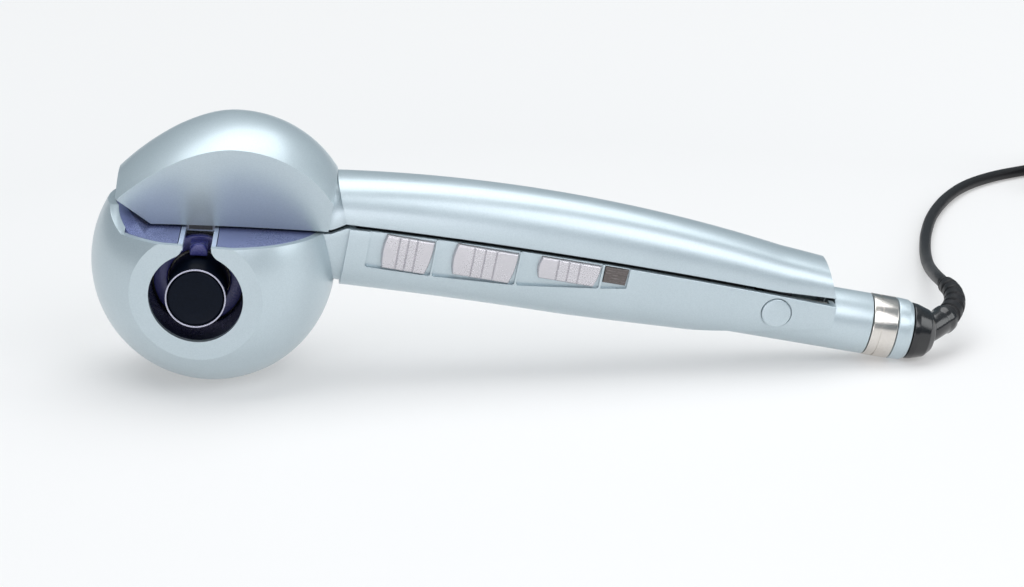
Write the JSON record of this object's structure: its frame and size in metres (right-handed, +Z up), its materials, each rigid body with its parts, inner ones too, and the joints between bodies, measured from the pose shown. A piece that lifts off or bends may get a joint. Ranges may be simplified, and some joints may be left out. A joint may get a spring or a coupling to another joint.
{
  "type": "automatic hair curler",
  "caption": "Hand-held automatic hair curler with a ball head, a side chamber with a heated barrel and geared rotor, a lever that opens the head, slide switches and a swivelling mains lead.",
  "frame": {"origin": "middle of the curler's own bounding box, on the surface that it lies on", "axes": "+X from the ball head to the tail, -Y out of the open side of the hair chamber, +Z up"},
  "size_m": [0.5018, 0.3221, 0.0975],
  "materials": {
    "shell": "satin ice-blue paint with fine metal flake",
    "deck": "glossy translucent-looking deck plate",
    "clear": "clear edge lining",
    "ceramic": "satin dark blue-black coating",
    "dark": "fine matt",
    "steel": "turned or rolled",
    "brass": "plain",
    "nylon": "natural moulded",
    "board": "solder mask",
    "cap": "pearl silver",
    "lens": "smoked, rippled",
    "chrome": "polished",
    "rubber": "smooth black",
    "lamp": "diffuse blue lens"
  },
  "bodies": {
    "housing": {"lower_housing_near": "shell", "lower_housing_far": "shell", "tail_tube": "shell", "end_ring": "shell", "hinge_cap_near": "shell", "hinge_cap_far": "shell", "deck_plate": "deck", "slot_guide": "clear", "chamber_cup": "ceramic", "barrel_sleeve": "ceramic", "barrel_end_cap": "dark", "heater_core": "steel", "barrel_mount": "nylon", "idler_axle": "steel", "motor_can": "steel", "motor_end_bell": "dark", "gear_frame": "steel", "chamber_lamp": "lamp", "thermal_fuse": "steel", "handle_plate": "dark", "return_spring": "steel", "control_board": "board", "time_switch": "steel", "heat_switch": "steel", "direction_switch": "steel", "start_switch": "dark", "buzzer": "dark", "indicator_lamp": "lamp", "terminal_block": "nylon", "indicator_lens": "lens", "hinge_pin": "steel", "silver_band": "chrome", "swivel_socket": "nylon", "case_screw_1": "steel", "case_screw_2": "steel", "case_screw_3": "steel"},
    "jaw": {"upper_cover": "shell", "jaw_insert": "dark", "lever_liner": "dark"},
    "rotor": {"hair_rotor": "dark", "rotor_gear": "nylon"},
    "idler": {"idler_gear": "nylon"},
    "motor_rotor": {"motor_pinion": "brass", "motor_shaft": "steel"},
    "time_button": {"time_slider": "cap"},
    "heat_button": {"heat_slider": "cap"},
    "direction_button": {"direction_slider": "cap"},
    "plunger": {"start_plunger": "nylon"},
    "lead": {"cord_swivel": "rubber", "strain_relief": "rubber", "cord_tube": "rubber", "cord_coil": "rubber", "cord_plug_lead": "rubber", "plug_body": "rubber", "plug_pin_1": "brass", "plug_pin_2": "brass"}
  },
  "joints": [
    {"name": "jaw_hinge", "type": "hinge", "parent": "housing", "child": "jaw", "pos_m": [0.08824, 0, 0.0227], "axis": [0, 1, 0], "range_deg": [0, 6], "deforming": ["return_spring"]},
    {"name": "rotor_spin", "type": "hinge", "parent": "housing", "child": "rotor", "pos_m": [-0.12081, 0, 0.03939], "axis": [0, 1, 0], "continuous": true},
    {"name": "idler_spin", "type": "hinge", "parent": "housing", "child": "idler", "pos_m": [-0.10065, 0, 0.03058], "axis": [0, 1, 0], "continuous": true},
    {"name": "motor_spin", "type": "hinge", "parent": "housing", "child": "motor_rotor", "pos_m": [-0.10688, 0, 0.04312], "axis": [0, 1, 0], "continuous": true},
    {"name": "time_slide", "type": "slide", "parent": "housing", "child": "time_button", "axis": [0.9816, 0, -0.1908], "range_m": [-0.0045, 0]},
    {"name": "heat_slide", "type": "slide", "parent": "housing", "child": "heat_button", "axis": [0.9816, 0, -0.1908], "range_m": [-0.006, 0]},
    {"name": "direction_slide", "type": "slide", "parent": "housing", "child": "direction_button", "axis": [0.9816, 0, -0.1908], "range_m": [-0.006, 0]},
    {"name": "start_press", "type": "slide", "parent": "housing", "child": "plunger", "axis": [0.1908, 0, 0.9816], "range_m": [0, 0.0024]},
    {"name": "cord_turn", "type": "hinge", "parent": "housing", "child": "lead", "pos_m": [0.13975, 0, 0.01097], "axis": [0.9816, 0, -0.1908], "continuous": true}
  ],
  "couplings": [
    {"joint": "idler_spin", "follows": "rotor_spin", "ratio": -3.4},
    {"joint": "motor_spin", "follows": "rotor_spin", "ratio": 8.5},
    {"joint": "start_press", "follows": "jaw_hinge", "m_per_rad": 0.022}
  ]
}
